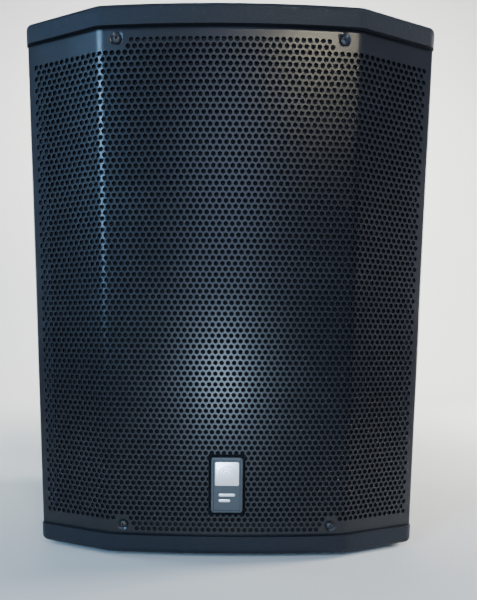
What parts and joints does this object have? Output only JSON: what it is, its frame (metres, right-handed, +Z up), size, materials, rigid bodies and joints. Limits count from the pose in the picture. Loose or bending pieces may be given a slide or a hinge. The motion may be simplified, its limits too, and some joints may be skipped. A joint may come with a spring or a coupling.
{
  "type": "pa speaker cabinet",
  "caption": "Upright two-way loudspeaker cabinet with a bowed front, slanted facets, wrap-round perforated steel grille, rear input dish, side bar handles and a pole socket.",
  "frame": {"origin": "middle of the footprint, on the surface that the bottom feet stand on", "axes": "+Z up, the grille faces -Y, +X is to the right seen from the front"},
  "size_m": [0.417, 0.33, 0.546],
  "materials": {
    "badge_metal": "bright brushed foil",
    "badge_plastic": "satin black",
    "bare_plywood": "raw birch plywood",
    "basket_metal": "black powder-coated die casting",
    "black_steel": "black zinc",
    "capacitor_film": "yellow tape wrap",
    "coil_copper": "enamelled copper",
    "cone_paper": "black pulp paper",
    "damping_fleece": "needled polyester",
    "diaphragm_metal": "spun titanium",
    "driver_metal": "black cast body",
    "ferrite": "ground ferrite",
    "foot_rubber": "matt",
    "gasket_fibre": "pressed fibre",
    "grille_foam": "black acoustic foam",
    "grille_steel": "black powder coat on perforated steel",
    "horn_plastic": "moulded black",
    "input_steel": "black powder coat",
    "lead_rubber": "insulated lead",
    "painted_wood": "plywood painted dull black",
    "plated_steel": "zinc plated",
    "resistor_ceramic": "cement body",
    "socket_plastic": "moulded black",
    "spider_cloth": "resin-stiffened cotton",
    "surround_cloth": "doped cloth",
    "switch_button": "light grey",
    "terminal_board": "resin laminate",
    "textured_paint": "coarse textured black paint on plywood"
  },
  "bodies": {
    "cabinet": {"badge_inlay": "badge_metal", "badge_plate": "badge_plastic", "baffle": "painted_wood", "bottom_feet": "foot_rubber", "bottom_panel": "textured_paint", "brace": "bare_plywood", "crossover_board": "terminal_board", "crossover_capacitors": "capacitor_film", "crossover_coils": "coil_copper", "crossover_resistors": "resistor_ceramic", "crossover_standoffs": "plated_steel", "foot_screws": "black_steel", "grille": "grille_steel", "grille_foam": "grille_foam", "grille_rails": "painted_wood", "grille_screws": "black_steel", "handle_screws": "black_steel", "horn": "horn_plastic", "horn_driver_bolts": "black_steel", "horn_driver_cover": "driver_metal", "horn_driver_motor": "driver_metal", "horn_screws": "black_steel", "input_lead": "lead_rubber", "input_plate": "input_steel", "input_plate_screws": "black_steel", "left_handle": "horn_plastic", "left_rear_panel": "textured_paint", "left_side_panel": "textured_paint", "mode_switch_body": "horn_plastic", "monitor_feet": "foot_rubber", "phone_jack": "socket_plastic", "pole_socket": "horn_plastic", "pole_socket_screws": "black_steel", "port_tubes": "horn_plastic", "rear_damping_pad": "damping_fleece", "rear_panel": "textured_paint", "right_handle": "horn_plastic", "right_rear_panel": "textured_paint", "right_side_panel": "textured_paint", "side_damping_pads": "damping_fleece", "speaker_sockets": "socket_plastic", "suspension_inserts": "plated_steel", "top_panel": "textured_paint", "tweeter_lead": "lead_rubber", "woofer_basket": "basket_metal", "woofer_bolts": "black_steel", "woofer_gasket": "gasket_fibre", "woofer_lead": "lead_rubber", "woofer_magnet": "ferrite", "woofer_spider": "spider_cloth", "woofer_spider_ring": "gasket_fibre", "woofer_surround": "surround_cloth", "woofer_terminals": "terminal_board", "woofer_top_plate": "plated_steel", "woofer_yoke": "plated_steel"},
    "cone": {"woofer_cone": "cone_paper", "woofer_dust_cap": "cone_paper", "woofer_voice_coil": "coil_copper"},
    "diaphragm": {"horn_driver_diaphragm": "diaphragm_metal"},
    "switch_slider": {"mode_switch_slider": "switch_button"}
  },
  "joints": [
    {"name": "woofer_travel", "type": "slide", "parent": "cabinet", "child": "cone", "axis": [0, -1, 0], "range_m": [-0.005, 0.005], "stiffness_N_per_m": 6000, "deforming": ["woofer_surround", "woofer_spider"]},
    {"name": "diaphragm_travel", "type": "slide", "parent": "cabinet", "child": "diaphragm", "axis": [0, -1, 0], "range_m": [-0.0004, 0.0004], "stiffness_N_per_m": 300},
    {"name": "mode_switch", "type": "slide", "parent": "cabinet", "child": "switch_slider", "axis": [1, 0, 0], "range_m": [0, 0.005]}
  ]
}
